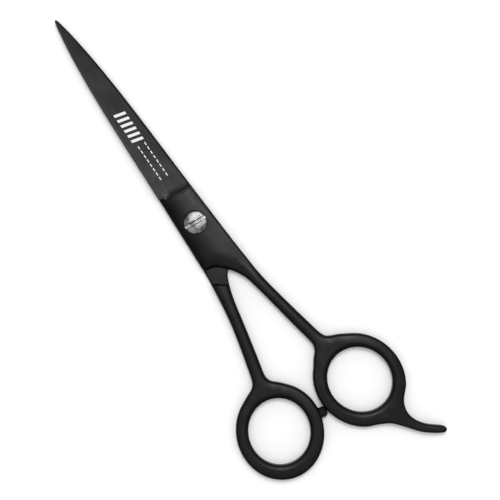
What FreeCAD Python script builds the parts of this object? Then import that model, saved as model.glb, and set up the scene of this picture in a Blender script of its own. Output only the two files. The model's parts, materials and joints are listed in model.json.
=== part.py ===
import FreeCAD
import Part
import Sketcher
import math
import os
from FreeCAD import Placement, Rotation, Vector

# Hair cutting shears: two forged halves that cross at one tension screw.
# Frame: the origin is where the pivot axis meets the resting plane, +X points to the
# blade tips, +Y to the thumb ring and +Z up to the slotted screw head. Millimetres.

doc = FreeCAD.newDocument("hair_cutting_shears")
dims = doc.addObject("Spreadsheet::Sheet", "dims")

DRIVING = [
    # blades and root
    ("blade_reach", 79.1, "pivot axis to blade tip"),
    ("root_width", 12.3, "width of one half across the pivot"),
    ("tip_radius", 0.45, "rounding of the blade tip in plan"),
    ("edge_setback", 0.25, "cutting edge inside the other half's spine when closed"),
    ("leaf_thick", 2.5, "thickness of one half where the two cross"),
    ("face_gap", 0.1, "gap between the two mating faces"),
    ("edge_thick", 0.35, "blade thickness at the cutting edge beside the root"),
    ("spine_drop", 0.1, "ground face below the outer face, at the spine beside the root"),
    ("tip_thick", 0.9, "blade thickness on the centre line at the tip"),
    ("tip_lean", 0.22, "cross slope of the ground face at the tip"),
    ("grind_start", 10.4, "pivot axis to the start of the ground face"),
    ("crotch_back", 14.7, "pivot axis to the corner behind the spine"),
    # shanks
    ("step_back", 19.6, "pivot axis to the shoulder where the shank gets its full thickness"),
    ("shoulder_angle", 37.0, "lean of the shoulder from square to the blade"),
    ("shank_width", 3.9, "shank width halfway to the ring"),
    ("neck_width", 4.6, "shank width where it runs into the ring"),
    ("neck_inset", 3.2, "shank end nearer the centre line than the ring centre"),
    ("junction_round", 3.6, "fillet outside between shank and ring"),
    ("inner_junction_round", 2.5, "fillet inside between shank and ring"),
    # rings
    ("ring_back", 71.4, "pivot axis to finger ring centre, along X"),
    ("finger_ring_side", 14.6, "pivot axis to finger ring centre, along Y"),
    ("finger_ring_tilt", 12.5, "long axis of the finger ring from the blade line"),
    ("thumb_ring_lead", 1.0, "thumb ring centre ahead of the finger ring's"),
    ("thumb_ring_side", 16.1, "pivot axis to thumb ring centre, along Y"),
    ("thumb_ring_tilt", 24.0, "long axis of the thumb ring from the blade line"),
    ("ring_hole_long", 21.7, "ring hole, long axis"),
    ("ring_hole_short", 20.0, "ring hole, short axis"),
    ("ring_band_long", 4.9, "width of the ring at the ends of its long axis"),
    ("ring_band_short", 4.15, "width of the ring at its sides"),
    ("ring_bevel", 1.2, "bevel of the edges of the ring's hole"),
    # finger rest
    ("rest_reach", 29.2, "finger ring centre to the tip of the finger rest, along X"),
    ("rest_drop", 13.5, "finger ring centre to the tip of the finger rest, along Y"),
    ("rest_tip_radius", 1.0, "rounding of the finger rest's tip"),
    ("rest_thick", 4.4, "thickness of the finger rest"),
    # pivot
    ("head_diameter", 7.3, "pivot screw head"),
    ("head_rim", 0.78, "height of the screw head's straight rim"),
    ("head_dome", 0.35, "height of the screw head's dome"),
    ("head_gap", 0.2, "radial gap between the screw head and its seat"),
    ("slot_width", 1.3, "screwdriver slot width"),
    ("slot_depth", 0.4, "screwdriver slot below the head's rim"),
    ("slot_angle", 85.0, "screwdriver slot from the blade line"),
    ("screw_diameter", 4.0, "pivot screw shaft"),
    ("screw_length", 4.0, "pivot screw shaft below the head"),
    ("fit_gap", 0.05, "radial running clearance on the pivot"),
    ("stack_gap", 0.02, "axial clearance between pieces that turn on each other"),
    ("bush_wall", 0.65, "pivot bushing wall"),
    ("bush_flange", 0.3, "pivot bushing flange thickness"),
    ("spring_width", 1.3, "spring washer, hole to rim"),
    ("spring_thick", 0.3, "spring washer thickness"),
    ("glide_diameter", 9.8, "glide washer"),
    ("glide_recess", 0.25, "depth of the glide washer's seat in the finger half"),
    ("nut_diameter", 7.4, "back nut flange"),
    ("nut_flange", 1.0, "back nut flange thickness"),
    ("nut_barrel", 5.6, "back nut barrel"),
    ("spanner_hole", 0.8, "spanner hole in the back nut"),
    ("spanner_depth", 0.6, "depth of the spanner holes"),
    # bumper
    ("bumper_behind", 2.6, "foot of the bumper behind the thumb ring's centre"),
    ("bumper_diameter", 3.5, "bumper dome"),
    ("bumper_wall", 0.6, "straight side of the bumper below its dome"),
    ("bumper_stem", 2.0, "bumper stem"),
    ("bumper_seat", 2.2, "depth of the bumper's hole in the thumb ring"),
    ("bumper_gap", 0.2, "bumper to finger ring when closed"),
]

for row, (alias, value, note) in enumerate(DRIVING, start=1):
    dims.set(f"A{row}", note)
    dims.set(f"B{row}", str(value))
    dims.setAlias(f"B{row}", alias)
doc.recompute()

# Sizes that follow from the driving ones, as expressions and as numbers.
FULL = "(2 * dims.leaf_thick + dims.face_gap)"
PARTING = "(dims.leaf_thick + dims.face_gap)"
BORE = "(dims.screw_diameter + 2 * dims.fit_gap)"
BUSH = f"({BORE} + 2 * dims.bush_wall)"
HEAD_SEAT = "(dims.head_diameter + 2 * dims.head_gap)"
SEAT_DEPTH = "(dims.head_rim + dims.stack_gap + dims.spring_thick + dims.bush_flange)"
full_thick = 2 * dims.leaf_thick + dims.face_gap
parting = dims.leaf_thick + dims.face_gap
half_root = dims.root_width / 2


def origin_plane(body, role):
    for part in body.Origin.OriginFeatures:
        if part.Role == role:
            return part
    raise ValueError(role)


def new_sketch(body, name, plane, geometry, lift="0"):
    """A closed outline on one of the body's own planes, lifted along its normal."""
    sketch = body.newObject("Sketcher::SketchObject", name)
    sketch.AttachmentSupport = [(origin_plane(body, plane), "")]
    sketch.MapMode = "FlatFace"
    sketch.addGeometry(geometry, False)
    sketch.setExpression("AttachmentOffset.Base.z", lift)
    return sketch


def circle_sketch(body, name, diameter, lift="0", offset="0"):
    """A circle whose diameter, height and distance from the axis are bound to the sheet."""
    circle = Part.Circle(Vector(1, 1, 0), Vector(0, 0, 1), 1)
    sketch = new_sketch(body, name, "XY_Plane", [circle], lift)
    bindings = (("Diameter", (0,), diameter), ("DistanceX", (0, 3), offset), ("DistanceY", (0, 3), "0"))
    for kind, place, expression in bindings:
        index = sketch.addConstraint(Sketcher.Constraint(kind, *place, 1.0))
        sketch.setExpression(f"Constraints[{index}]", expression)
    return sketch


def shape_from(body, kind, name, profile, expressions=None, **settings):
    """A pad, pocket or loft with its lengths bound to the sheet."""
    made = body.newObject("PartDesign::" + kind, name)
    made.Profile = profile
    for key, value in settings.items():
        setattr(made, key, value)
    for key, expression in (expressions or {}).items():
        made.setExpression(key, expression)
    doc.recompute()
    return made


def disc(body, name, diameter, height, lift="0"):
    profile = circle_sketch(body, name + "_circle", diameter, lift)
    return shape_from(body, "Pad", name, profile, {"Length": height})


def bore(body, name, diameter, depth, lift="0", offset="0", upwards=True):
    profile = circle_sketch(body, name + "_circle", diameter, lift, offset)
    return shape_from(body, "Pocket", name, profile, {"Length": depth}, Reversed=upwards)


def turned_dome(body, name, radius, base, wall, rise):
    """A short cylinder under a spherical cap, turned about the body's Z axis."""
    shoulder, top = base + wall, base + wall + rise
    ball = (radius ** 2 + rise ** 2) / (2 * rise)
    bend = math.atan2(radius, ball - rise) / 2
    middle = (ball * math.sin(bend), top - ball * (1 - math.cos(bend)))
    outline = [line((0, base), (radius, base)), line((radius, base), (radius, shoulder)),
               arc((radius, shoulder), middle, (0, top)), line((0, top), (0, base))]
    profile = new_sketch(body, name + "_profile", "XZ_Plane", outline)
    return shape_from(body, "Revolution", name, profile, ReferenceAxis=(profile, ["V_Axis"]), Angle=360)


def round_edges(body, name, base, test, radius):
    """A fillet on the edges of a feature that a test picks."""
    picked = [f"Edge{number}" for number, edge in enumerate(base.Shape.Edges, start=1) if test(edge)]
    fillet = body.newObject("PartDesign::Fillet", name)
    fillet.Base = (base, picked)
    fillet.setExpression("Radius", radius)
    doc.recompute()
    return fillet


def smooth(points):
    """One spline through a few points."""
    curve = Part.BSplineCurve()
    curve.interpolate(Points=[Vector(x, y, 0) for x, y in points])
    return curve


def line(first, second):
    return Part.LineSegment(Vector(*first, 0), Vector(*second, 0))


def arc(first, middle, last):
    return Part.Arc(Vector(*first, 0), Vector(*middle, 0), Vector(*last, 0))


def polygon(corners):
    return [line(corners[index - 1], corners[index]) for index in range(len(corners))]


# --- outlines in plan, drawn for a half whose ring lies on the -Y side ---

# share of the blade's reach from the pivot, and share of half the root width there
BLADE_TAPER = [(0.0, 1.0), (0.2, 0.88), (0.4, 0.775), (0.6, 0.652), (0.76, 0.496), (0.885, 0.316), (0.96, 0.165)]
# the crotch behind the spine: shares of its distance back, and of half the root width
CROTCH = [(1.0, 1.02), (1.01, 0.70), (1.07, 0.40), (1.19, 0.10), (1.38, -0.24)]
# share of the shank's length, and share of its sideways spread there
SHANK_BEND = [(0.30, 0.21), (0.50, 0.42), (0.72, 0.68), (1.0, 1.0)]


def leaf_outline(ring_back, ring_side):
    """Blade, root and shank of one half. The shank ends inside the ring's band."""
    tip_x = dims.blade_reach - dims.tip_radius
    spine = [(tip_x, dims.tip_radius)]
    edge = [(tip_x, -dims.tip_radius)]
    for reach, share in reversed(BLADE_TAPER):
        setback = dims.edge_setback * min(1.0, 3 * (1 - reach))
        spine.append((reach * dims.blade_reach, share * half_root))
        edge.append((reach * dims.blade_reach, setback - share * half_root))
    back = dims.crotch_back
    spine += [(-0.5 * back, 1.05 * half_root), (-0.93 * back, 1.10 * half_root)]
    edge += [(-0.5 * back, -1.04 * half_root)]

    start = (-1.22 * back, -1.155 * half_root)
    end_x = -(ring_back - (dims.ring_hole_long + dims.ring_band_long) / 2)
    end_y = -(ring_side - dims.neck_inset)
    middle_y = start[1] + dims.shank_width / 2
    inner = [(-x * back, y * half_root) for x, y in CROTCH]
    outer = [start]
    for share, spread in SHANK_BEND:
        x = start[0] + share * (end_x - start[0])
        y = middle_y + spread * (end_y - middle_y)
        width = dims.shank_width + max(0.0, 2 * share - 1) * (dims.neck_width - dims.shank_width)
        inner.append((x, y + width / 2))
        outer.append((x, y - width / 2))
    outline = [arc(edge[0], (dims.blade_reach, 0), spine[0]), smooth(spine), line(spine[-1], inner[0])]
    return outline + [smooth(inner), line(inner[-1], outer[-1]), smooth(outer[::-1] + edge[::-1])]


def ring_ellipse(ring, extra_long=0.0, extra_short=0.0):
    """The ring's hole, or its outside where the band's two widths are added."""
    back, side, tilt = ring
    centre = Vector(-back, -side, 0)
    along = Vector(-math.cos(math.radians(tilt)), -math.sin(math.radians(tilt)), 0)
    across = Vector(-along.y, along.x, 0)
    long_end = centre + along * (dims.ring_hole_long / 2 + extra_long)
    return Part.Ellipse(long_end, centre + across * (dims.ring_hole_short / 2 + extra_short), centre)


def rest_outline(ring):
    """The finger rest: a horn that leaves the rear of the finger ring and turns outwards."""
    back, side, _ = ring
    reach, drop, radius = dims.rest_reach, dims.rest_drop, dims.rest_tip_radius
    band_middle = (dims.ring_hole_long + dims.ring_band_long) / 2

    def place(x_share, y_share):
        return (-back - x_share * reach, -side - y_share * drop)

    tip = place(1.0, 1.0)
    tip_inboard = (tip[0] + 0.5 * radius, tip[1] + 1.7 * radius)
    tip_outboard = (tip[0] + 1.8 * radius, tip[1])
    root_inboard = (-back - 0.95 * band_middle, -side + 0.50 * drop)
    root_outboard = (-back - 0.75 * band_middle, -side - 0.70 * drop)
    inboard = [root_inboard, place(0.524, -0.207), place(0.596, 0.037), place(0.70, 0.23), place(0.86, 0.50),
               tip_inboard]
    outboard = [tip_outboard, place(0.918, 0.93), place(0.825, 0.72), place(0.716, 0.55), place(0.582, 0.49),
                place(0.459, 0.59), root_outboard]
    end = arc(tip_inboard, (tip[0] + 0.4 * radius, tip[1] - 0.3 * radius), tip_outboard)
    return [smooth(inboard), end, smooth(outboard), line(root_outboard, root_inboard)]


def mating_region():
    """The plan region in front of the shoulder, where the other half lies."""
    reach = 3 * half_root
    lean = math.tan(math.radians(dims.shoulder_angle))
    shoulder = [(-dims.step_back - lean * (y + half_root), y) for y in (reach, -reach)]
    front = dims.blade_reach + reach
    return polygon(shoulder + [(front, -reach), (front, reach)])


def grind_section(at_centre, lean):
    """What the grinding takes off at one station: all above a line that rises to the spine."""
    span = 2 * half_root
    sky = full_thick + 10
    return polygon([(-span, at_centre - lean * span), (span, at_centre + lean * span), (span, sky), (-span, sky)])


def ring_surface(ring, point, direction):
    """Distance from a point along a unit direction to the ring's outside, near side first."""
    back, side, tilt = ring
    cos, sin = math.cos(math.radians(tilt)), math.sin(math.radians(tilt))
    long_half = dims.ring_hole_long / 2 + dims.ring_band_long
    short_half = dims.ring_hole_short / 2 + dims.ring_band_short

    def turned(x, y):
        return (x * cos + y * sin) / long_half, (y * cos - x * sin) / short_half

    px, py = turned(point[0] + back, point[1] + side)
    dx, dy = turned(*direction)
    a, b, c = dx * dx + dy * dy, 2 * (px * dx + py * dy), px * px + py * py - 1
    return (-b - math.sqrt(b * b - 4 * a * c)) / (2 * a)


finger_ring = (dims.ring_back, dims.finger_ring_side, dims.finger_ring_tilt)
thumb_ring = (dims.ring_back - dims.thumb_ring_lead, dims.thumb_ring_side, dims.thumb_ring_tilt)

# The bumper's foot on the thumb ring, drawn on the -Y side, and the way that it points.
# The finger ring is then this ring's neighbour across the centre line.
foot_x = -(thumb_ring[0] + dims.bumper_behind)
inwards = (0, -1)
drop = ring_surface(thumb_ring, (foot_x, 0), inwards)
step = 0.1
slope = (ring_surface(thumb_ring, (foot_x + step, 0), inwards) - drop) / step
foot = Vector(foot_x, -drop, 0)
outwards = Vector(slope, 1, 0).normalize()
neighbour = (dims.ring_back, -dims.finger_ring_side, -dims.finger_ring_tilt)
bumper_height = ring_surface(neighbour, (foot.x, foot.y), (outwards.x, outwards.y)) - dims.bumper_gap


def build_half(name, ring, with_rest):
    """One half, its outer face up: leaf, ring, mating step, ground blade face, ring hole."""
    body = doc.addObject("PartDesign::Body", name)
    leaf = new_sketch(body, name + "_leaf_outline", "XY_Plane", leaf_outline(*ring[:2]))
    shape_from(body, "Pad", name + "_leaf", leaf, {"Length": FULL})
    outside = new_sketch(body, name + "_ring_outline", "XY_Plane",
                         [ring_ellipse(ring, dims.ring_band_long, dims.ring_band_short)])
    last = shape_from(body, "Pad", name + "_ring", outside, {"Length": FULL})

    neck_x = -(ring[0] - dims.ring_hole_long / 2)
    neck_y = -(ring[1] - dims.neck_inset)

    def junction(outer):
        def picks(edge):
            box = edge.BoundBox
            upright = box.XLength < 0.001 and box.YLength < 0.001
            return upright and abs(box.XMin - neck_x) < 2 * dims.ring_band_long and (box.YMin < neck_y) == outer
        return picks

    last = round_edges(body, name + "_outer_junction", last, junction(True), "dims.junction_round")
    last = round_edges(body, name + "_inner_junction", last, junction(False), "dims.inner_junction_round")
    if with_rest:
        rest_underside = f"({FULL} - dims.rest_thick) / 2"
        rest = new_sketch(body, name + "_rest_outline", "XY_Plane", rest_outline(ring), rest_underside)
        shape_from(body, "Pad", name + "_rest", rest, {"Length": "dims.rest_thick"})

    hole = new_sketch(body, name + "_hole_outline", "XY_Plane", [ring_ellipse(ring)])
    shape_from(body, "Pocket", name + "_hole", hole, Type="ThroughAll", Reversed=True)

    # the hole flares out at both faces
    for label, rim, inside in (("upper", FULL, f"{FULL} - dims.ring_bevel"), ("lower", "0", "dims.ring_bevel")):
        flared = ring_ellipse(ring, dims.ring_bevel, dims.ring_bevel)
        wide = new_sketch(body, f"{name}_{label}_rim", "XY_Plane", [flared], rim)
        narrow = new_sketch(body, f"{name}_{label}_throat", "XY_Plane", [ring_ellipse(ring)], inside)
        shape_from(body, "SubtractiveLoft", f"{name}_{label}_bevel", wide, Sections=[narrow], Ruled=True)
    mating = new_sketch(body, name + "_mating_outline", "XY_Plane", mating_region())
    shape_from(body, "Pocket", name + "_mating_step", mating, {"Length": PARTING}, Reversed=True)

    spine_height = full_thick - dims.spine_drop
    edge_height = parting + dims.edge_thick
    root_section = grind_section((spine_height + edge_height) / 2, (spine_height - edge_height) / dims.root_width)
    tip_section = grind_section(parting + dims.tip_thick, dims.tip_lean)
    near = new_sketch(body, name + "_grind_root", "YZ_Plane", root_section, "dims.grind_start")
    far = new_sketch(body, name + "_grind_tip", "YZ_Plane", tip_section, "dims.blade_reach + 1")
    shape_from(body, "SubtractiveLoft", name + "_grind", near, Sections=[far], Ruled=True)

    return body


finger_half = build_half("finger_half", finger_ring, True)
bore(finger_half, "head_seat", HEAD_SEAT, SEAT_DEPTH, FULL, upwards=False)
bore(finger_half, "bush_bore", BUSH, FULL)
bore(finger_half, "glide_seat", "dims.glide_diameter + 2 * dims.fit_gap", "dims.glide_recess", PARTING)

# The thumb half is drawn like the finger half and turned over about the blade line.
thumb_half = build_half("thumb_half", thumb_ring, False)
bore(thumb_half, "nut_seat", "dims.nut_diameter", "dims.nut_flange", FULL, upwards=False)
bore(thumb_half, "nut_bore", "dims.nut_barrel", FULL)
stem_circle = circle_sketch(thumb_half, "bumper_hole_circle", "dims.bumper_stem")
stem_circle.setExpression("AttachmentOffset.Base.z", None)
stem_circle.AttachmentOffset = Placement(foot + Vector(0, 0, full_thick / 2), Rotation(Vector(0, 0, 1), outwards))
shape_from(thumb_half, "Pocket", "bumper_hole", stem_circle, {"Length": "dims.bumper_seat"})
thumb_half.Placement = Placement(Vector(0, 0, full_thick), Rotation(Vector(1, 0, 0), 180))
thumb_half.setExpression("Placement.Base.z", FULL)


def build_screw():
    """Slotted tension screw: domed head, full-width slot and plain-modelled threaded shaft."""
    body = doc.addObject("PartDesign::Body", "pivot_screw")
    under_head = f"({FULL} - dims.head_rim)"
    disc(body, "screw_shaft", "dims.screw_diameter", "dims.screw_length", f"{under_head} - dims.screw_length")
    disc(body, "screw_head", "dims.head_diameter", "dims.head_rim", under_head)
    half_rim = dims.head_rim / 2
    turned_dome(body, "screw_dome", dims.head_diameter / 2, full_thick - half_rim, half_rim, dims.head_dome)
    reach, side = dims.head_diameter, dims.slot_width / 2
    outline = polygon([(-reach, -side), (reach, -side), (reach, side), (-reach, side)])
    slot = new_sketch(body, "slot_outline", "XY_Plane", outline, f"{FULL} + dims.head_dome")
    slot.AttachmentOffset = Placement(Vector(), Rotation(Vector(0, 0, 1), dims.slot_angle))
    shape_from(body, "Pocket", "screw_slot", slot, {"Length": "dims.slot_depth + dims.head_dome"})
    return body


def build_bushing():
    """Flanged plastic bushing between the screw and the finger half."""
    body = doc.addObject("PartDesign::Body", "pivot_bushing")
    flange_base = f"({FULL} - {SEAT_DEPTH})"
    sleeve_base = f"({PARTING} + dims.glide_recess + dims.stack_gap)"
    disc(body, "bush_sleeve", BUSH, f"{flange_base} - {sleeve_base}", sleeve_base)
    disc(body, "bush_flange", "dims.head_diameter", "dims.bush_flange", flange_base)
    bore(body, "bush_hole", BORE, FULL)
    return body


def build_spring_washer():
    """Thin spring washer that the screw head bears on."""
    body = doc.addObject("PartDesign::Body", "spring_washer")
    base = f"({FULL} - dims.head_rim - dims.stack_gap - dims.spring_thick)"
    disc(body, "spring_disc", "dims.head_diameter - 0.1", "dims.spring_thick", base)
    bore(body, "spring_hole", "dims.head_diameter - 0.1 - 2 * dims.spring_width", FULL)
    return body


def build_glide_washer():
    """Plastic washer that keeps the two halves apart at the pivot."""
    body = doc.addObject("PartDesign::Body", "glide_washer")
    thick = "dims.glide_recess + dims.face_gap - 2 * dims.stack_gap"
    disc(body, "glide_disc", "dims.glide_diameter", thick, "dims.leaf_thick + dims.stack_gap")
    bore(body, "glide_hole", BUSH, FULL)
    return body


def build_back_nut():
    """Threaded nut pressed into the thumb half from below, with two spanner holes."""
    body = doc.addObject("PartDesign::Body", "back_nut")
    disc(body, "nut_barrel", "dims.nut_barrel", "dims.leaf_thick - dims.stack_gap")
    disc(body, "nut_flange", "dims.nut_diameter", "dims.nut_flange")
    bore(body, "nut_thread", BORE, FULL)
    spacing = f"({BORE} + dims.nut_diameter) / 4"
    for side, sign in (("front", ""), ("rear", "-")):
        bore(body, side + "_spanner_hole", "dims.spanner_hole", "dims.spanner_depth", offset=sign + spacing)
    return body


def build_bumper():
    """Rubber bumper: stem in the thumb ring, dome that meets the finger ring."""
    body = doc.addObject("PartDesign::Body", "bumper")
    disc(body, "bumper_stem", "dims.bumper_stem", "dims.bumper_seat", "-dims.bumper_seat")
    turned_dome(body, "bumper_dome", dims.bumper_diameter / 2, 0, dims.bumper_wall, bumper_height - dims.bumper_wall)
    facing = Rotation(Vector(1, 0, 0), 180).multVec(outwards)
    body.Placement = Placement(Vector(foot.x, -foot.y, full_thick / 2), Rotation(Vector(0, 0, 1), facing))
    return body


pieces = [finger_half, thumb_half, build_screw(), build_bushing(), build_spring_washer(), build_glide_washer(),
          build_back_nut(), build_bumper()]
doc.recompute()

for item in doc.Objects:
    if "Invalid" in item.State or "Error" in item.State:
        raise RuntimeError(f"{item.Name} is {item.State}")
for piece in pieces:
    if piece.Shape.isNull() or not piece.Shape.isValid() or len(piece.Shape.Solids) != 1:
        raise RuntimeError(f"{piece.Name} is not one valid solid")

os.makedirs("parts", exist_ok=True)
for piece in pieces:
    piece.Label = piece.Name
    piece.Shape.exportStep(f"parts/{piece.Label}.step")
    print(f"{piece.Label}: {piece.Shape.Volume:.1f} mm3")
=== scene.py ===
import json
import math
import bpy
import bmesh
from mathutils import Matrix, Vector, geometry, kdtree


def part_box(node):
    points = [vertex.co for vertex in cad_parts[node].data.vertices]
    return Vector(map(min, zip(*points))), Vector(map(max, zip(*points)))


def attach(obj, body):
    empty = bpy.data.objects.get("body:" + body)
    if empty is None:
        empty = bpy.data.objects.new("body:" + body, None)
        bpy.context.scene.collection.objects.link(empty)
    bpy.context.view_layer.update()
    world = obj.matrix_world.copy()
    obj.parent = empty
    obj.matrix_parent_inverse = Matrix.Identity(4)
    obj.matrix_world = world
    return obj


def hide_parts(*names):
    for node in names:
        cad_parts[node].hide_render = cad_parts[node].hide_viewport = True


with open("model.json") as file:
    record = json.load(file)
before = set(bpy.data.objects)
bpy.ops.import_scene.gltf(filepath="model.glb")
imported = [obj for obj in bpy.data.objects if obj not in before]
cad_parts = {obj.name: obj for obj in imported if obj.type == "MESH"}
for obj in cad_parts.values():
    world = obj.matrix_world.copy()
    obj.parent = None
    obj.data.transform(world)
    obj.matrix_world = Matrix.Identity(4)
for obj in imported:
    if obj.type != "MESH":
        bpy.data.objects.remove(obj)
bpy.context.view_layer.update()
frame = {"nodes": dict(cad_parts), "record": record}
mm = 0.001
scene = bpy.context.scene
print("frame loaded")


# places taken from the frame, in millimetres, as all shapes below are

def mountPlace(name):
    mounts = frame["record"]["mounts"]
    return next(Vector(mount["pos_m"]) / mm for mount in mounts if mount["name"] == name)


fingerRing = mountPlace("finger_ring")
thumbRing = mountPlace("thumb_ring")
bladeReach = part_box("finger_half")[1].x / mm
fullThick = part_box("finger_half")[1].z / mm
partingRise = 2.6  # one leaf and the gap between the two
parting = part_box("thumb_half")[0].z / mm + partingRise  # the upper half's mating face


# outlines

def smoothPath(points, gap=0.3):  # a smooth line through every point
    knots = [Vector((x, y, 0)) for x, y in points]
    path = []
    for i in range(len(knots) - 1):
        before, start, end = knots[max(i - 1, 0)], knots[i], knots[i + 1]
        after = knots[min(i + 2, len(knots) - 1)]
        span = (end - start).length
        leave = (end - before) * span / max(span + (start - before).length, 1e-6) / 3
        arrive = (after - start) * span / max((after - end).length + span, 1e-6) / 3
        steps = max(2, round(span / gap) + 1)
        path += geometry.interpolate_bezier(start, start + leave, end - arrive, end, steps)[:-1]
    return [p.xy for p in path]


def evenly(points, gap, passes):  # a closed outline sampled every gap, its kinks eased
    lengths = [(points[(i + 1) % len(points)] - points[i]).length for i in range(len(points))]
    count = round(sum(lengths) / gap)
    stride, walked, result = sum(lengths) / count, 0.0, []
    for i, length in enumerate(lengths):
        while len(result) < count and len(result) * stride <= walked + length:
            along = (len(result) * stride - walked) / max(length, 1e-9)
            result.append(points[i].lerp(points[(i + 1) % len(points)], along))
        walked += length
    for _ in range(passes):
        result = [(result[i - 1] + 2 * p + result[(i + 1) % count]) / 4 for i, p in enumerate(result)]
    return result


def through(stations, x):  # a value at x, smooth through (x, value) stations in rising x
    last = len(stations) - 1
    i = next((k for k in range(last) if x <= stations[k + 1][0]), last - 1)
    (x0, v0), (x1, v1) = stations[i], stations[i + 1]
    (xa, va), (xb, vb) = stations[max(i - 1, 0)], stations[min(i + 2, last)]
    m0, m1, span = (v1 - va) / (x1 - xa), (vb - v0) / (xb - x0), x1 - x0
    t = min(max((x - x0) / span, 0.0), 1.0)
    return ((2 * t ** 3 - 3 * t ** 2 + 1) * v0 + (t ** 3 - 2 * t ** 2 + t) * span * m0
            + (3 * t ** 2 - 2 * t ** 3) * v1 + (t ** 3 - t ** 2) * span * m1)


def ease(first, last, value):
    t = min(max((value - first) / (last - first), 0.0), 1.0)
    return t * t * (3 - 2 * t)


# Both halves are shaped as the upper one, outer face up and ring on the -Y side.

blade = {
    "halfWidth": [(-13.7, 6.77), (-7.3, 6.46), (0, 6.15), (15.8, 5.41), (31.6, 4.77), (47.5, 4.01),
                  (60.1, 3.05), (70.0, 1.94), (75.9, 1.02), (78.65, 0.42)],
    "setback": [(-13.7, 0.0), (0, 0.2), (15.8, 0.25), (55, 0.25), (78.65, 0.0)],
    "stations": (78.65, 77, 74, 70, 64, 56, 48, 40, 32, 24, 16, 8, 0, -7), "spineEnd": -13.7,
    "grindStart": 10.4, "rootFace": 1.37, "tipFace": 0.90,  # ground face above the mating face, mid blade
    "rootLean": 0.167, "tipLean": 0.22, "spineSide": 0.2,
    "spineRim": (0.35, 0.5), "edgeRim": (0.3, 0.27), "thinnest": 0.06,
    "hollow": 0.14, "rideLine": 1.1, "hollowStart": (8, 22), "hollowEnd": (79, 60), "matingRim": (-12, -15),
}
ricasso = {"centre": (39.95, -5.4), "radius": 30.0, "lip": 0.08, "edge": 0.22, "edgeDrop": 0.15,
           "ledge": 0.42, "drop": 0.3, "climb": 0.42, "runOut": 3.0, "fadeIn": 3.0, "behind": -12}
shoulder = {"back": 19.6, "side": 6.15, "angle": 37.0, "wall": 0.5, "round": 0.35}
rims = {  # width and height of the rounding
    "shank": (0.55, 1.2), "ring": (0.6, 1.3), "rest": (0.5, 0.8), "spine": (0.8, 0.9),
    "edge": (0.45, 0.9), "hole": (0.42, 0.9), "ridge": (1.36, 0.42), "mating": (0.5, 0.45),
}
crowns = {  # width and height of the doming inside the rounding
    "spine": (4.8, 0.85), "edge": (2.0, 0.0), "shank": (2.1, 0.5), "ring": (3.0, 0.36), "rest": (1.2, 0.12),
}
zones = {  # where one section turns into the next
    "root": (-27, -17), "ring": (-52, -58), "rest": (-82, -86), "restReach": 15.4, "restFade": 3.0,
    "sideStart": -20, "sideY": -4.3, "sideSlope": 0.24,
}
rootRoll = 55.0  # radius of the root's slight barrel shape
fingerRest = {"thick": 4.4, "thinX": (-84, -94), "thinY": (-14, -19),
              "roll": 0.035, "rollMiddle": -72.5, "rollReach": 3.0}  # its faces lean to its outer side
rows = [0.03, 0.1, 0.21, 0.36, 0.55, 0.82, 1.15, 1.6, 2.1]  # rings of faces inside the outline
holeRows = [0.03, 0.09, 0.18, 0.3, 0.42, 0.85, 1.3, 1.42, 1.8]  # and around the finger hole
cuts = {  # where the flat part of the faces is sliced
    "lengthGap": 1.2, "lengthStart": -101, "widthGap": 1.1, "widthStart": -31, "widthEnd": 8, "reach": 4,
    "shoulder": (-0.85, -0.7, -0.6, -0.53, -0.5, 0.0),
    "grind": (-0.22, -0.14, -0.07, -0.02, 0.0, 0.08, 0.25, 0.42, 0.46, 0.7, 1.0, 1.4, 1.9, 2.5, 3.2),
}
crotch = [(-14.65, 6.25), (-14.85, 4.30), (-15.72, 2.45), (-17.5, 0.62), (-20.3, -1.48)]

finger = {
    "centre": fingerRing.xy, "hole": (10.85, 10.03, 12.0), "ring": (15.76, 14.22, 9.4),
    "ringShift": (-0.05, 0.19), "arcs": [(40, 156), (229, 336)],
    "inner": [(-24, -3.25), (-28, -4.16), (-34, -5.26), (-40, -6.30), (-46, -7.34), (-51.2, -8.33),
              (-53.5, -8.60), (-55.5, -7.95), (-57.5, -6.15)],
    "rest": [(-86.8, -11.5), (-88.8, -15.0), (-91.9, -17.7), (-96.5, -21.4), (-99.9, -25.7),
             (-100.8, -27.7), (-100.1, -28.65), (-98.9, -28.2), (-95.5, -24.3), (-92.3, -22.0),
             (-88.4, -21.2), (-84.9, -22.5)],
    "outer": [(-55.3, -16.9), (-54.5, -15.0), (-53.4, -13.45), (-51.4, -12.6), (-46, -11.46),
              (-40, -10.24), (-34, -9.10), (-28, -8.04), (-23, -7.45), (-17.9, -7.10)],
}
thumb = {
    "centre": Vector((thumbRing.x, -thumbRing.y)), "hole": (10.75, 9.95, 23.0),
    "ring": (15.55, 14.13, 21.6), "ringShift": (-0.14, 0.16), "arcs": [(46, 337)],
    "inner": [(-24, -2.95), (-28, -4.10), (-34, -5.40), (-40, -6.72), (-46, -8.08), (-51.2, -9.33),
              (-53.5, -9.72), (-55.5, -9.10), (-57.2, -7.35)],
    "rest": [],
    "outer": [(-55.2, -18.1), (-54.4, -16.2), (-53.2, -14.75), (-51.3, -13.9), (-46, -12.42),
              (-40, -10.86), (-34, -9.46), (-28, -8.40), (-23, -7.72), (-17.9, -7.10)],
}
outlineGap, outlinePasses, ringStep = 0.4, 1, 4  # ringStep in degrees


def spineY(x):
    return through(blade["halfWidth"], x)


def edgeY(x):
    return through(blade["setback"], x) - spineY(x)


def ellipsePoint(centre, size, degrees):
    tilt = math.radians(size[2])
    angle = math.radians(degrees) - tilt
    reach = 1 / math.hypot(math.cos(angle) / size[0], math.sin(angle) / size[1])
    return centre + reach * Vector((math.cos(angle + tilt), math.sin(angle + tilt)))


def ringPoint(half, degrees):
    return ellipsePoint(half["centre"] + Vector(half["ringShift"]), half["ring"], degrees)


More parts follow.
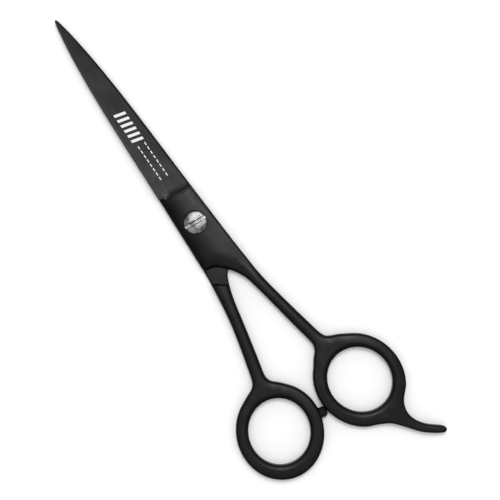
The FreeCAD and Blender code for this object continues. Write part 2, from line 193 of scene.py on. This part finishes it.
def halfOutline(half):  # anticlockwise from the tip
    stations = blade["stations"]
    points = [(bladeReach, 0)] + [(x, spineY(x)) for x in stations + (blade["spineEnd"],)]
    points += crotch + half["inner"]
    for number, (first, last) in enumerate(half["arcs"]):
        points += [ringPoint(half, d) for d in range(first, last + 1, ringStep)]
        points += half["rest"] if number == 0 else []
    points += half["outer"] + [(x, edgeY(x)) for x in reversed(stations)] + [(bladeReach, 0)]
    return evenly(smoothPath(points), outlineGap, outlinePasses)


def asLoop(points):  # an outline with what finding its nearest point takes
    tree = kdtree.KDTree(len(points))
    for i, point in enumerate(points):
        tree.insert((point.x, point.y, 0), i)
    tree.balance()
    after = points[1:] + points[:1]
    inward = [(after[i] - points[i - 1]).orthogonal().normalized() for i in range(len(points))]
    return {"points": points, "tree": tree, "inward": inward}


def nearestOn(loop, x, y):  # the distance to a loop, and the nearest point's number
    points, count = loop["points"], len(loop["points"])
    i = loop["tree"].find((x, y, 0))[1]
    here = Vector((x, y))
    best = 1e9
    for a, b in ((points[i - 1], points[i]), (points[i], points[(i + 1) % count])):
        near, share = geometry.intersect_point_line(here, a, b)
        near = a if share < 0 else b if share > 1 else near.xy
        best = min(best, (here - near.xy).length)
    return best, i


inset = {"margin": 0.9, "near": 0.99, "shrink": 0.95, "least": 0.05}


def insetRow(loop, distance):  # each point moved in by distance, or less where the plate is narrow
    moved = []
    for point, side in zip(loop["points"], loop["inward"]):
        room = distance / inset["margin"]
        while room > inset["least"]:
            if loop["tree"].find((point + side * room).to_3d())[2] >= inset["near"] * room:
                break
            room *= inset["shrink"]
        moved.append(point + side * room * inset["margin"])
    return moved


# heights of the outer face and the mating face over the plan

def rounding(distance, width, height):  # a quarter round down to an edge
    share = 1 - min(distance / width, 1.0)
    return height * (1 - math.sqrt(max(0.0, 1 - share * share)))


def blendPair(first, second, share):
    return [a + (b - a) * share for a, b in zip(first, second)]


def arcX(y):
    return ricasso["centre"][0] - math.sqrt(ricasso["radius"] ** 2 - (y - ricasso["centre"][1]) ** 2)


def pastShoulder(x, y):  # distance in front of the shoulder line
    lean = math.radians(shoulder["angle"])
    return (x + shoulder["back"]) * math.cos(lean) + (y + shoulder["side"]) * math.sin(lean)


def bodyDrop(half, x, y, rootSide):  # how far a face behind the blade lies below full height
    outer, number = nearestOn(half["outline"], x, y)
    hole, _ = nearestOn(half["hole"], x, y)
    near = half["outline"]["points"][number]
    sideLine = zones["sideY"] + zones["sideSlope"] * (near.x - zones["sideStart"])
    side = "spine" if near.y > sideLine else "edge"
    toRoot, toRing, onRest = ease(*zones["root"], x) * rootSide, ease(*zones["ring"], x), 0.0
    if half["rest"]:
        beyondRing = (Vector((x, y)) - half["centre"]).length - zones["restReach"]
        onRest = ease(0.0, zones["restFade"], beyondRing) * ease(*zones["rest"], x)
    rim, crown = (blendPair(blendPair(blendPair(sizes["shank"], sizes["ring"], toRing), sizes["rest"], onRest),
                            sizes[side], toRoot) for sizes in (rims, crowns))
    drop = rounding(outer, *rim) + crown[1] * max(0.0, 1 - outer / crown[0]) ** 2
    drop += toRoot * y * y / (2 * rootRoll)
    drop += rounding(hole, *rims["hole"]) + rims["ridge"][1] * max(0.0, 1 - hole / rims["ridge"][0])
    if half["rest"]:
        along = ease(*fingerRest["thinX"], x) * ease(*fingerRest["thinY"], y)
        across = min(max(x - y - fingerRest["rollMiddle"], -fingerRest["rollReach"]), fingerRest["rollReach"])
        drop += along * ((fullThick - fingerRest["thick"]) / 2 + fingerRest["roll"] * across)
    return drop


def outerHeight(half, x, y):
    plain = fullThick - bodyDrop(half, x, y, 1.0)
    beyond = x - arcX(y)
    if beyond > ricasso["lip"] / 2:
        share = (x - blade["grindStart"]) / (bladeReach - blade["grindStart"])
        face = parting + blade["rootFace"] + (blade["tipFace"] - blade["rootFace"]) * share
        face += (blade["rootLean"] + (blade["tipLean"] - blade["rootLean"]) * share) * y
        outer, number = nearestOn(half["outline"], x, y)
        spineSide = half["outline"]["points"][number].y > blade["spineSide"]
        face -= rounding(outer, *blade["spineRim" if spineSide else "edgeRim"])
        ledge = plain - ricasso["drop"]
        if beyond > ricasso["ledge"] + 0.01:
            fade = max(0.0, 1 - (beyond - ricasso["ledge"]) / ricasso["runOut"])
            face += min(max(0.0, ledge - face), ricasso["climb"]) * fade ** 2
            plain = min(plain - 0.02 + ricasso["fadeIn"] * (beyond - ricasso["ledge"]), face)
        else:
            plain = max(ledge, min(face, plain - 0.05))
    elif beyond > -ricasso["edge"]:
        plain -= rounding(-beyond, ricasso["edge"], ricasso["edgeDrop"])
    return max(plain, matingHeight(half, x, y) + blade["thinnest"])


def matingHeight(half, x, y):
    ahead = pastShoulder(x, y)
    if ahead <= -shoulder["wall"] / 2:
        drop = bodyDrop(half, x, y, 0.0)
        return drop + rounding(-ahead - shoulder["wall"], shoulder["round"], shoulder["round"])
    outer, _ = nearestOn(half["outline"], x, y)
    width = 2 * spineY(x)
    inFromEdge = y - edgeY(x) - blade["rideLine"]
    share = min(max(inFromEdge / max(width - 2 * blade["rideLine"], 0.1), 0.0), 1.0)
    rise = blade["hollow"] * 4 * share * (1 - share)
    rise *= ease(*blade["hollowStart"], x) * ease(*blade["hollowEnd"], x)
    return parting + rise + rounding(outer, *rims["mating"]) * ease(*blade["matingRim"], x)


# bmesh helpers

def newPiece(name, bm):
    bmesh.ops.scale(bm, vec=(mm, mm, mm), verts=bm.verts)
    mesh = bpy.data.meshes.new(name)
    bm.to_mesh(mesh)
    bm.free()
    piece = bpy.data.objects.new(name, mesh)
    scene.collection.objects.link(piece)
    return piece


def drawLoop(bm, points):
    verts = [bm.verts.new((p[0], p[1], 0.0)) for p in points]
    return [bm.edges.new((verts[i - 1], verts[i])) for i in range(len(verts))]


def growRow(bm, edges, before, after):  # one more row of faces, each new point moved to its place
    number = {tuple(point.xy): i for i, point in enumerate(before)}
    grown = bmesh.ops.extrude_edge_only(bm, edges=edges)["geom"]
    for vert in grown:
        if isinstance(vert, bmesh.types.BMVert):
            vert.co.xy = after[number[tuple(vert.co.xy)]]
    return [edge for edge in grown if isinstance(edge, bmesh.types.BMEdge)]


def sliceFaces(bm, faces, place, normal):
    verts, edges = {v for f in faces for v in f.verts}, {e for f in faces for e in f.edges}
    geom = list(faces) + list(verts) + list(edges)
    cut = bmesh.ops.bisect_plane(bm, geom=geom, dist=0.002, plane_co=place, plane_no=normal)
    return [f for f in cut["geom"] if isinstance(f, bmesh.types.BMFace)]


def turned(name, profile, axis=(0, 0, 1), place=(0, 0, 0), steps=96):  # a solid of (radius, height)
    bm = bmesh.new()
    verts = [bm.verts.new((r, 0, z)) for r, z in profile]
    for a, b in zip(verts, verts[1:]):
        bm.edges.new((a, b))
    if profile[0][0] > 0:
        bm.edges.new((verts[-1], verts[0]))
    bmesh.ops.spin(bm, geom=bm.verts[:] + bm.edges[:], cent=(0, 0, 0), axis=(0, 0, 1), angle=math.tau,
                   steps=steps, use_merge=True)
    bmesh.ops.remove_doubles(bm, verts=bm.verts, dist=1e-4)
    bmesh.ops.recalc_face_normals(bm, faces=bm.faces)
    turn = Vector((0, 0, 1)).rotation_difference(Vector(axis)).to_matrix()
    bmesh.ops.rotate(bm, verts=bm.verts, cent=(0, 0, 0), matrix=turn)
    bmesh.ops.translate(bm, verts=bm.verts, vec=place)
    return newPiece(name, bm)


def settle(piece):  # its modifiers go into its mesh
    graph = bpy.context.evaluated_depsgraph_get()
    old = piece.data
    piece.data = bpy.data.meshes.new_from_object(piece.evaluated_get(graph))
    piece.modifiers.clear()
    bpy.data.meshes.remove(old)


def carve(piece, cutter):
    modifier = piece.modifiers.new("carve", "BOOLEAN")
    modifier.operation, modifier.solver, modifier.object = "DIFFERENCE", "EXACT", cutter
    settle(piece)
    bpy.data.meshes.remove(cutter.data)


def shadeSmooth(piece, degrees):
    mesh = piece.data
    mesh.shade_smooth()
    mesh.set_sharp_from_angle(angle=math.radians(degrees))


# the two halves

def bendGrind(bm, sign):  # the grind line's arc made straight, or let go again
    for vert in bm.verts:
        if vert.co.x > ricasso["behind"]:
            vert.co.x += sign * (arcX(0) - arcX(vert.co.y))


def forgeHalf(name, half):
    holeLine = [ellipsePoint(half["centre"], half["hole"], -d) for d in range(0, 360, 3)]
    half["outline"], half["hole"] = asLoop(halfOutline(half)), asLoop(holeLine)
    bm = bmesh.new()
    inner = []
    for loop in (half["outline"], half["hole"]):
        edges = drawLoop(bm, loop["points"])
        before = [Vector(p) for p in loop["points"]]
        for distance in holeRows if loop is half["hole"] else rows:
            after = insetRow(loop, distance)
            edges = growRow(bm, edges, before, after)
            before = after
        inner += edges
    bmesh.ops.triangle_fill(bm, use_beauty=True, use_dissolve=False, edges=inner, normal=(0, 0, 1))
    faces = [f for f in bm.faces if len(f.verts) == 3]
    lengthwise = (Vector((1, 0, 0)), cuts["lengthStart"], bladeReach, cuts["lengthGap"])
    across = (Vector((0, 1, 0)), cuts["widthStart"], cuts["widthEnd"], cuts["widthGap"])
    for normal, first, last, gap in (lengthwise, across):
        place = first + gap
        while place < last:
            faces = sliceFaces(bm, faces, normal * place, normal)
            place += gap
    # the shoulder line, then the grind line while it is straight
    lean = math.radians(shoulder["angle"])
    ahead = Vector((math.cos(lean), math.sin(lean), 0))
    for offset in cuts["shoulder"]:
        close = [f for f in bm.faces
                 if abs(pastShoulder(*f.calc_center_median().xy) - offset) < cuts["reach"]]
        sliceFaces(bm, close, Vector((-shoulder["back"], -shoulder["side"], 0)) + ahead * offset, ahead)
    bendGrind(bm, 1)
    for offset in cuts["grind"]:
        close = [f for f in bm.faces if abs(f.calc_center_median().x - arcX(0)) < cuts["reach"]]
        sliceFaces(bm, close, Vector((arcX(0) + offset, 0, 0)), Vector((1, 0, 0)))
    bendGrind(bm, -1)
    grown = bmesh.ops.extrude_face_region(bm, geom=bm.faces[:], use_keep_orig=True)["geom"]
    upper = {v for v in grown if isinstance(v, bmesh.types.BMVert)}
    for vert in bm.verts:
        height = outerHeight if vert in upper else matingHeight
        vert.co.z = height(half, vert.co.x, vert.co.y)
    bmesh.ops.recalc_face_normals(bm, faces=bm.faces)
    if half is thumb:
        turnOver = Matrix.Rotation(math.pi, 3, "X")
        bmesh.ops.rotate(bm, verts=bm.verts, cent=(0, 0, fullThick / 2), matrix=turnOver)
    return newPiece(name, bm)


fingerHalf = forgeHalf("fingerHalf", finger)
thumbHalf = forgeHalf("thumbHalf", thumb)
print("halves forged")


# the pivot's seats, each one turned cutter

pivot = {
    "headSeat": 7.7, "seatDepth": 1.4, "seatChamfer": 0.12, "bush": 5.4, "glide": 9.9, "glideDepth": 0.25,
    "nutSeat": 7.4, "nutGap": 0.05, "nutDepth": 1.0, "nutBarrel": 5.6,
    "over": 0.3, "under": 1.0, "nutTop": 3.2,  # how far the cutters run past the faces
}


def cutSeats():
    seat, bush, glide = pivot["headSeat"] / 2, pivot["bush"] / 2, pivot["glide"] / 2
    chamfer, over = pivot["seatChamfer"], pivot["over"]
    seatFloor, glideRoof = fullThick - pivot["seatDepth"], parting + pivot["glideDepth"]
    carve(fingerHalf, turned("headCutter", [
        (0, parting - pivot["under"]), (glide, parting - pivot["under"]), (glide, glideRoof), (bush, glideRoof),
        (bush, seatFloor), (seat, seatFloor), (seat, fullThick - chamfer),
        (seat + chamfer + over, fullThick + over), (0, fullThick + over)]))
    nutSeat, nutBarrel = pivot["nutSeat"] / 2 + pivot["nutGap"], pivot["nutBarrel"] / 2
    carve(thumbHalf, turned("nutCutter", [
        (0, -over), (nutSeat + chamfer + over, -over), (nutSeat, chamfer), (nutSeat, pivot["nutDepth"]),
        (nutBarrel, pivot["nutDepth"]), (nutBarrel, pivot["nutTop"]), (0, pivot["nutTop"])]))


cutSeats()
print("pivot seats cut")


# tension screw: shaft, domed head and slot

screw = {
    "head": 7.3, "rim": 0.78, "rimDrop": 0.06, "dome": 0.35, "domeSteps": 14, "shaft": 4.0, "length": 4.0,
    "edge": 0.12, "underEdge": 0.1, "point": 0.3, "corner": [(0.0, 0.08), (0.03, 0.02)], "steps": 128,
    "slotWidth": 1.4, "slotFloor": 0.85, "slotDepth": 0.36, "slotAngle": 85.0, "slotOver": 1.4,
    "bevel": 0.05, "bevelSegments": 2, "bevelAngle": 30,
}


def makeScrew():
    low, rimTop = fullThick - screw["rim"], fullThick - screw["rimDrop"]
    top, foot = fullThick + screw["dome"], low - screw["length"]
    reach, shaft, rise = screw["head"] / 2, screw["shaft"] / 2, top - rimTop
    ball = (reach ** 2 + rise ** 2) / (2 * rise)
    flat = reach - screw["edge"]
    dome = []
    for i in range(screw["domeSteps"] + 1):
        r = flat - flat * i / screw["domeSteps"]
        dome.append((r, top - ball + math.sqrt(ball ** 2 - r ** 2)))
    profile = [(0, foot), (shaft - screw["point"], foot), (shaft, foot + screw["point"]), (shaft, low),
               (reach - screw["underEdge"], low), (reach, low + screw["underEdge"])]
    profile += [(reach - inward, rimTop - down) for inward, down in screw["corner"]] + dome
    return turned("tensionScrew", profile, steps=screw["steps"])


def makeSlotCutter():  # wider at the top than at the slot's floor
    bm = bmesh.new()
    bmesh.ops.create_cube(bm, size=1)
    bmesh.ops.scale(bm, vec=(screw["head"] * screw["slotOver"], screw["slotFloor"], 1), verts=bm.verts)
    wide = [v for v in bm.verts if v.co.z > 0]
    bmesh.ops.scale(bm, vec=(1, screw["slotWidth"] / screw["slotFloor"], 1), verts=wide)
    bmesh.ops.translate(bm, vec=(0, 0, 0.5), verts=bm.verts)
    bmesh.ops.scale(bm, vec=(1, 1, screw["slotDepth"] + screw["dome"]), verts=bm.verts)
    bmesh.ops.translate(bm, vec=(0, 0, fullThick - screw["slotDepth"]), verts=bm.verts)
    turn = Matrix.Rotation(math.radians(screw["slotAngle"]), 3, "Z")
    bmesh.ops.rotate(bm, verts=bm.verts, cent=(0, 0, 0), matrix=turn)
    return newPiece("slotCutter", bm)


tensionScrew = makeScrew()
carve(tensionScrew, makeSlotCutter())
print("screw turned")


# rubber bumper on the thumb ring

bumper = {
    "behind": 2.6, "squat": 0.95, "gap": 0.12, "steps": 48, "search": (800, 1200),  # in tenths of a degree
    "foot": [(0, -0.9), (1.0, -0.9), (1.0, -0.35), (1.78, -0.35), (1.8, 0.1), (1.68, 0.28), (1.66, 0.4)],
    "dome": [(1.72, 0.3), (1.74, 0.48), (1.62, 0.68), (1.32, 0.85), (0.85, 0.96), (0.4, 0.995), (0, 1.0)],
}


def makeBumper():
    want = thumbRing.x - bumper["behind"]
    angles = [tenths / 10 for tenths in range(*bumper["search"])]
    angle = min(angles, key=lambda a: abs(ringPoint(thumb, a).x - want))
    foot, ahead = ringPoint(thumb, angle), ringPoint(thumb, angle + 1)
    out = (foot - ahead).orthogonal().normalized()
    out = out if out.y > 0 else -out
    height = bumper["squat"] * (-foot.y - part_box("bumper")[0].y / mm)
    line = smoothPath([(r, share * height) for r, share in bumper["dome"]], bumper["gap"])
    profile = bumper["foot"] + [tuple(p) for p in line]
    profile[-1] = (0, height)
    return turned("ringBumper", profile, axis=(out.x, -out.y, 0), place=(foot.x, -foot.y, fullThick / 2),
                  steps=bumper["steps"])


ringBumper = makeBumper()
print("bumper turned")


# ornament on the upper blade: a band of slanted stripes between two rows of dashes

ornament = {
    "start": 31.5, "end": 43.0, "low": -1.7, "high": 2.1, "stripe": 0.95, "pitch": 1.95, "slant": 0.9,
    "dashRows": (-1.25, 1.25), "dashStart": 17.5, "dashEnd": 29.5, "dash": (1.1, 0.32), "dashPitch": 1.7,
    "slices": (-4, 90), "sliceGap": 0.5, "proud": 0.012, "sunk": 0.05,
}


def slanted(x, low, high, long, slant=0.0):
    return [(x, low), (x + long, low), (x + long + slant, high), (x + slant, high)]


def makeOrnament():
    bm = bmesh.new()
    shapes = []
    x = ornament["start"]
    while x < ornament["end"]:
        shapes.append(slanted(x, ornament["low"], ornament["high"], ornament["stripe"], ornament["slant"]))
        x += ornament["pitch"]
    long, wide = ornament["dash"]
    for y in ornament["dashRows"]:
        x = ornament["dashStart"]
        while x < ornament["dashEnd"]:
            shapes.append(slanted(x, y - wide / 2, y + wide / 2, long))
            x += ornament["dashPitch"]
    for shape in shapes:
        bmesh.ops.contextual_create(bm, geom=drawLoop(bm, shape))
    for normal in (Vector((1, 0, 0)), Vector((0, 1, 0))):
        for k in range(*ornament["slices"]):
            sliceFaces(bm, bm.faces, normal * k * ornament["sliceGap"], normal)
    grown = bmesh.ops.extrude_face_region(bm, geom=bm.faces[:], use_keep_orig=True)["geom"]
    upper = {v for v in grown if isinstance(v, bmesh.types.BMVert)}
    for vert in bm.verts:
        above = ornament["proud"] if vert in upper else -ornament["sunk"]
        vert.co.z = outerHeight(finger, vert.co.x, vert.co.y) + above
    bmesh.ops.recalc_face_normals(bm, faces=bm.faces)
    return newPiece("bladeOrnament", bm)


bladeOrnament = makeOrnament()
print("ornament laid")


# materials

def newMaterial(name, **values):
    material = bpy.data.materials.new(name)
    material.use_nodes = True
    shader = material.node_tree.nodes["Principled BSDF"]
    for socket, value in values.items():
        shader.inputs[socket.replace("_", " ")].default_value = value
    return material, material.node_tree.nodes, material.node_tree.links, shader


def noiseNode(nodes, links, scale, detail, stretch=(1, 1, 1)):
    coords, mapping = nodes.new("ShaderNodeTexCoord"), nodes.new("ShaderNodeMapping")
    noise = nodes.new("ShaderNodeTexNoise")
    mapping.inputs["Scale"].default_value = stretch
    noise.inputs["Scale"].default_value, noise.inputs["Detail"].default_value = scale, detail
    links.new(coords.outputs["Object"], mapping.inputs["Vector"])
    links.new(mapping.outputs["Vector"], noise.inputs["Vector"])
    return noise


def spread(nodes, links, source, low, high, first=0.3, last=0.7):
    ramp = nodes.new("ShaderNodeMapRange")
    for socket, value in (("From Min", first), ("From Max", last), ("To Min", low), ("To Max", high)):
        ramp.inputs[socket].default_value = value
    links.new(source, ramp.inputs["Value"])
    return ramp.outputs["Result"]


def shades(nodes, links, source, dark, light):
    mix = nodes.new("ShaderNodeMix")
    mix.data_type = "RGBA"
    mix.inputs["A"].default_value, mix.inputs["B"].default_value = (*dark, 1), (*light, 1)
    links.new(source, mix.inputs["Factor"])
    return mix.outputs["Result"]


bumpDistance = 0.02  # mm, in every finish


def bumpNode(nodes, links, source, shader, strength):
    bump = nodes.new("ShaderNodeBump")
    bump.inputs["Strength"].default_value = strength
    bump.inputs["Distance"].default_value = bumpDistance * mm
    links.new(source, bump.inputs["Height"])
    links.new(bump.outputs["Normal"], shader.inputs["Normal"])


coating = {
    "dark": (0.0092, 0.0092, 0.0094), "light": (0.0134, 0.0134, 0.0137), "rough": (0.29, 0.38),
    "edgeTint": (0.65, 0.65, 0.65, 1), "cloud": (160, 4), "streak": (900, 3), "streakStretch": (0.15, 1, 1),
    "grain": (9000, 2), "bump": 0.1,
}


def coatedSteel():
    material, nodes, links, shader = newMaterial("blackCoatedSteel", Metallic=1.0,
                                                 Specular_Tint=coating["edgeTint"])
    cloud = noiseNode(nodes, links, *coating["cloud"])
    tone = spread(nodes, links, cloud.outputs["Fac"], 0, 1)
    links.new(shades(nodes, links, tone, coating["dark"], coating["light"]), shader.inputs["Base Color"])
    streak = noiseNode(nodes, links, *coating["streak"], stretch=coating["streakStretch"])
    links.new(spread(nodes, links, streak.outputs["Fac"], *coating["rough"]), shader.inputs["Roughness"])
    grain = noiseNode(nodes, links, *coating["grain"])
    bumpNode(nodes, links, grain.outputs["Fac"], shader, coating["bump"])
    return material


turning = {
    "dark": (0.045, 0.045, 0.044), "light": (0.21, 0.21, 0.206), "toneRange": (0.40, 0.60),
    "rough": (0.24, 0.34), "anisotropy": 0.75, "cloud": (420, 5),
    "rings": 2600, "ringWander": 2.0, "ringDetail": 3.0, "bump": 0.25,
}


def turnedSteel():
    material, nodes, links, shader = newMaterial("turnedSteel", Metallic=1.0, Anisotropic=turning["anisotropy"])
    tangent = nodes.new("ShaderNodeTangent")
    tangent.direction_type, tangent.axis = "RADIAL", "Z"
    links.new(tangent.outputs["Tangent"], shader.inputs["Tangent"])
    coords, wave = nodes.new("ShaderNodeTexCoord"), nodes.new("ShaderNodeTexWave")
    wave.wave_type, wave.rings_direction = "RINGS", "Z"
    wave.inputs["Scale"].default_value = turning["rings"]
    wave.inputs["Distortion"].default_value = turning["ringWander"]
    wave.inputs["Detail"].default_value = turning["ringDetail"]
    links.new(coords.outputs["Object"], wave.inputs["Vector"])
    cloud = noiseNode(nodes, links, *turning["cloud"])
    tone = spread(nodes, links, cloud.outputs["Fac"], 0, 1, *turning["toneRange"])
    links.new(shades(nodes, links, tone, turning["dark"], turning["light"]), shader.inputs["Base Color"])
    links.new(spread(nodes, links, cloud.outputs["Fac"], *turning["rough"]), shader.inputs["Roughness"])
    bumpNode(nodes, links, wave.outputs["Fac"], shader, turning["bump"])
    return material


def plainFinish(name, dark, light, rough, scale, bump, **values):
    material, nodes, links, shader = newMaterial(name, **values)
    cloud = noiseNode(nodes, links, scale, 3)
    links.new(shades(nodes, links, cloud.outputs["Fac"], dark, light), shader.inputs["Base Color"])
    links.new(spread(nodes, links, cloud.outputs["Fac"], *rough), shader.inputs["Roughness"])
    bumpNode(nodes, links, cloud.outputs["Fac"], shader, bump)
    return material


steelCoat, steelTurned = coatedSteel(), turnedSteel()
nylon = plainFinish("whiteNylon", (0.72, 0.71, 0.67), (0.80, 0.79, 0.75), (0.35, 0.5), 2500, 0.1)
rubber = plainFinish("blackRubber", (0.004, 0.004, 0.004), (0.008, 0.008, 0.008), (0.6, 0.75), 4000, 0.3,
                     IOR=1.2)
springSteel = plainFinish("springSteel", (0.40, 0.40, 0.39), (0.56, 0.56, 0.55), (0.25, 0.4), 1800, 0.1,
                          Metallic=1.0)
whiteInk = plainFinish("whiteInk", (0.60, 0.60, 0.59), (0.78, 0.78, 0.77), (0.5, 0.65), 5000, 0.15)

finishes = (  # piece, material, and the angle past which an edge is sharp
    (fingerHalf, steelCoat, 32), (thumbHalf, steelCoat, 32), (tensionScrew, steelTurned, 40),
    (ringBumper, rubber, 40), (bladeOrnament, whiteInk, 30),
)
for piece, material, degrees in finishes:
    piece.data.materials.clear()
    piece.data.materials.append(material)
    shadeSmooth(piece, degrees)
hidden = {"pivot_bushing": nylon, "glide_washer": nylon, "spring_washer": springSteel, "back_nut": springSteel}
for node, material in hidden.items():
    for slot in frame["nodes"][node].material_slots:
        slot.material = material

# the screw's edges are softened last, and put into its mesh
bevel = tensionScrew.modifiers.new("edges", "BEVEL")
bevel.width, bevel.segments = screw["bevel"] * mm, screw["bevelSegments"]
bevel.limit_method, bevel.angle_limit = "ANGLE", math.radians(screw["bevelAngle"])
settle(tensionScrew)

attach(fingerHalf, "finger_side")
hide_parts("finger_half")
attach(bladeOrnament, "finger_side")
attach(thumbHalf, "thumb_side")
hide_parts("thumb_half")
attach(ringBumper, "thumb_side")
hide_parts("bumper")
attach(tensionScrew, "screw")
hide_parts("pivot_screw")
print("materials and bodies set")


# floor, light and camera

studio = {  # the lights' places, aims and sizes in metres
    "floor": 2.0, "floorDark": (0.90, 0.90, 0.90), "floorLight": (0.92, 0.92, 0.92), "floorBelow": 0.05,
    "world": (1.0, 1.0, 1.0, 1), "worldStrength": 0.54,
    "overheadLight": ((0.0, -0.03, 0.9), (0, 0, 0), 1.15, 3.6),
    "keyLight": ((0.15, -0.15, 0.88), (0, 0, 0), 0.22, 3.05),
}
scene.view_settings.view_transform = "Standard"


def makeStudio():
    bm = bmesh.new()
    bmesh.ops.create_grid(bm, x_segments=1, y_segments=1, size=studio["floor"] / mm)
    bmesh.ops.translate(bm, verts=bm.verts, vec=(0, 0, -studio["floorBelow"]))
    floor = newPiece("floor", bm)
    material, nodes, links, shader = newMaterial("palePaper", Roughness=0.9)
    cloud = noiseNode(nodes, links, 40, 3)
    tone = shades(nodes, links, cloud.outputs["Fac"], studio["floorDark"], studio["floorLight"])
    links.new(tone, shader.inputs["Base Color"])
    floor.data.materials.append(material)
    world = bpy.data.worlds.new("studioWorld")
    scene.world = world
    world.use_nodes = True
    sky = world.node_tree.nodes["Background"]
    sky.inputs["Color"].default_value = studio["world"]
    sky.inputs["Strength"].default_value = studio["worldStrength"]


def softLight(name, place, aim, size, watts):
    data = bpy.data.lights.new(name, "AREA")
    data.shape, data.size, data.energy = "DISK", size, watts
    light = bpy.data.objects.new(name, data)
    light.location = place
    light.rotation_euler = (Vector(aim) - Vector(place)).to_track_quat("-Z", "Y").to_euler()
    scene.collection.objects.link(light)


view = {
    "aim": (-17.2, -9.33, 4.0), "distance": 500.0, "frame": 160.1, "sensor": 36, "nearest": 0.01,
    "right": (-0.57012, -0.82156, 0), "up": (0.82156, -0.57012, 0),
}


def makeCamera():
    data = bpy.data.cameras.new("camera")
    data.sensor_width = data.sensor_height = view["sensor"]
    data.angle = 2 * math.atan(view["frame"] / 2 / view["distance"])
    data.clip_start = view["nearest"]
    camera = bpy.data.objects.new("camera", data)
    right, up = Vector(view["right"]), Vector(view["up"])
    back = right.cross(up)
    place = (Vector(view["aim"]) + back * view["distance"]) * mm
    camera.matrix_world = Matrix.Translation(place) @ Matrix((right, up, back)).transposed().to_4x4()
    scene.collection.objects.link(camera)
    scene.camera = camera


makeStudio()
softLight("overheadLight", *studio["overheadLight"])
softLight("keyLight", *studio["keyLight"])
makeCamera()
print("studio set")
